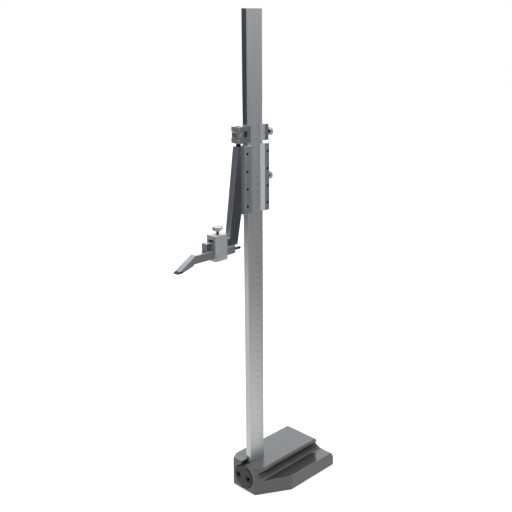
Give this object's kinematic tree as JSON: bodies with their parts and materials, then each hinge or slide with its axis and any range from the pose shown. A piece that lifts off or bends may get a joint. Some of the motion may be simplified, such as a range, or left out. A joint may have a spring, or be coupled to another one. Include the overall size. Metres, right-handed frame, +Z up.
{
  "type": "height gauge",
  "caption": "Vernier height gauge: flanged cast base, graduated upright beam, slider with arm and clamped scriber, and a fine-adjustment carriage with knurled nut.",
  "frame": {"origin": "on the surface plate that the base stands on, under the centre of the beam", "axes": "+Z up along the beam; the scriber points along -X; the scale faces -Y"},
  "size_m": [0.2586, 0.1016, 0.6765],
  "materials": {
    "base_paint": "semi-gloss grey paint over cast iron",
    "beam_steel": "satin chrome, brushed along its length",
    "slider_steel": "satin ground steel",
    "clamp_steel": "brushed steel with fine scratches",
    "scriber_steel": "ground steel",
    "carbide": "ground carbide",
    "nickel": "bright nickel plate",
    "black_oxide": "black oxide",
    "cap_oxide": "dark oxide, turned face",
    "gib_brass": "ground brass strip"
  },
  "bodies": {
    "stand": {"base_casting": "base_paint", "beam": "beam_steel", "beam_clamp_cap": "cap_oxide", "beam_clamp_anchor": "black_oxide", "beam_clamp_screws": "black_oxide"},
    "carriage": {"carriage_body": "slider_steel", "carriage_gib": "gib_brass"},
    "carriage_clamp": {"carriage_clamp_stud": "black_oxide", "carriage_clamp_knob": "nickel"},
    "nut": {"fine_adjust_nut": "nickel"},
    "slider": {"slider_body": "slider_steel", "left_plate": "slider_steel", "left_plate_screws": "black_oxide", "vernier_plate": "slider_steel", "vernier_plate_screws": "black_oxide", "slider_gib": "gib_brass", "slider_gib_screws": "black_oxide", "fine_adjust_spindle": "black_oxide"},
    "slider_clamp": {"slider_clamp_stud": "black_oxide", "slider_clamp_knob": "nickel"},
    "scriber_box": {"scriber_clamp": "clamp_steel"},
    "scriber_screw": {"scriber_clamp_stud": "black_oxide", "scriber_clamp_knob": "nickel"},
    "scriber_blade": {"scriber": "scriber_steel", "carbide_tip": "carbide", "scriber_pin": "black_oxide"}
  },
  "joints": [
    {"name": "carriage_slide", "type": "slide", "parent": "stand", "child": "carriage", "axis": [0, 0, 1], "range_m": [-0.361, 0.139]},
    {"name": "carriage_clamp_turn", "type": "hinge", "parent": "carriage", "child": "carriage_clamp", "pos_m": [0.03, 0, 0.5212], "axis": [1, 0, 0], "range_deg": [0, 360]},
    {"name": "nut_turn", "type": "hinge", "parent": "carriage", "child": "nut", "pos_m": [-0.026, 0, 0.5226], "axis": [0, 0, 1], "range_deg": [-1080, 1800]},
    {"name": "fine_adjust", "type": "slide", "parent": "carriage", "child": "slider", "axis": [0, 0, 1], "range_m": [-0.005, 0.003]},
    {"name": "slider_clamp_turn", "type": "hinge", "parent": "slider", "child": "slider_clamp", "pos_m": [0.03, 0, 0.4625], "axis": [1, 0, 0], "range_deg": [0, 360]},
    {"name": "scriber_clamp_slide", "type": "slide", "parent": "slider", "child": "scriber_box", "axis": [1, 0, 0], "range_m": [-0.018, 0.006]},
    {"name": "scriber_screw_turn", "type": "hinge", "parent": "scriber_box", "child": "scriber_screw", "pos_m": [-0.065, 0, 0.404], "axis": [0, 0, 1], "range_deg": [0, 360]},
    {"name": "scriber_slide", "type": "slide", "parent": "scriber_box", "child": "scriber_blade", "axis": [1, 0, 0], "range_m": [-0.015, 0]}
  ],
  "couplings": [
    {"joint": "fine_adjust", "follows": "nut_turn", "m_per_rad": -0.00015915}
  ]
}
